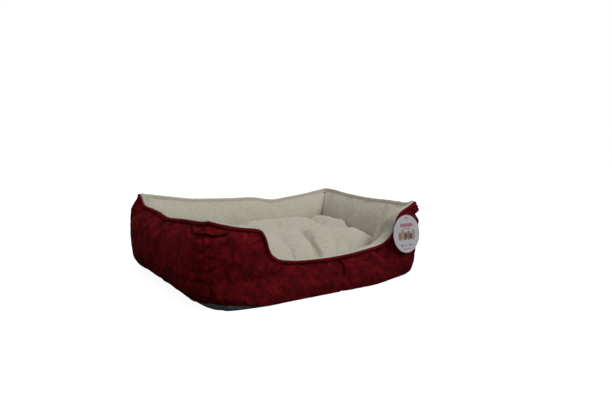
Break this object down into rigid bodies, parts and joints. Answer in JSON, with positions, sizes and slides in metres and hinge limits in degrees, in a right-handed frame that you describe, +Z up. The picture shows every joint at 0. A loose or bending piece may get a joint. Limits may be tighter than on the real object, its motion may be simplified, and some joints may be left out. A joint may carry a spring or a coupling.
{
  "type": "pet cushion bed",
  "caption": "Rectangular stuffed pet bed with bolstered walls, a low front entry, a loose sherpa cushion and a round hang tag.",
  "frame": {"origin": "middle of the bed's underside, below the middle of its rim, on the surface it rests on", "axes": "+Z up; +X along the front wall, towards the wall end with the hang tag; the low entry faces -Y"},
  "size_m": [0.6537, 0.456, 0.189],
  "materials": {
    "red_microsuede": "matt brushed micro-suede with mottled colour",
    "cream_sherpa": "curly sherpa pile",
    "white_fibre": "loose polyester fibre",
    "wadding": "polyester wadding",
    "grey_nonslip": "matt non-slip fabric",
    "printed_card": "smooth coated card",
    "clear_plastic": "smooth clear plastic"
  },
  "bodies": {
    "bed": {"outer_front_left_panel": "red_microsuede", "outer_front_right_panel": "red_microsuede", "outer_right_panel": "red_microsuede", "outer_back_panel": "red_microsuede", "outer_left_panel": "red_microsuede", "lining_front": "cream_sherpa", "lining_right": "cream_sherpa", "lining_back": "cream_sherpa", "lining_left": "cream_sherpa", "floor_lining": "cream_sherpa", "fill_front": "white_fibre", "fill_right": "white_fibre", "fill_back": "white_fibre", "fill_left": "white_fibre", "base_wadding": "wadding", "base_panel": "grey_nonslip"},
    "cushion": {"cushion_top": "cream_sherpa", "cushion_bottom": "cream_sherpa", "cushion_fill": "white_fibre"},
    "pin": {"tag_pin": "clear_plastic"},
    "tag": {"hang_tag": "printed_card"}
  },
  "joints": [
    {"name": "cushion_lift", "type": "slide", "parent": "bed", "child": "cushion", "axis": [0, 0, 1], "range_m": [0, 0.25]},
    {"name": "tag_swing", "type": "hinge", "parent": "bed", "child": "pin", "pos_m": [0.2505, -0.20696, 0.1505], "axis": [0, 1, 0], "range_deg": [-50, 20]},
    {"name": "tag_tilt", "type": "hinge", "parent": "pin", "child": "tag", "pos_m": [0.2505, -0.20696, 0.1505], "axis": [-1, 0, 0], "range_deg": [0, 45]}
  ]
}
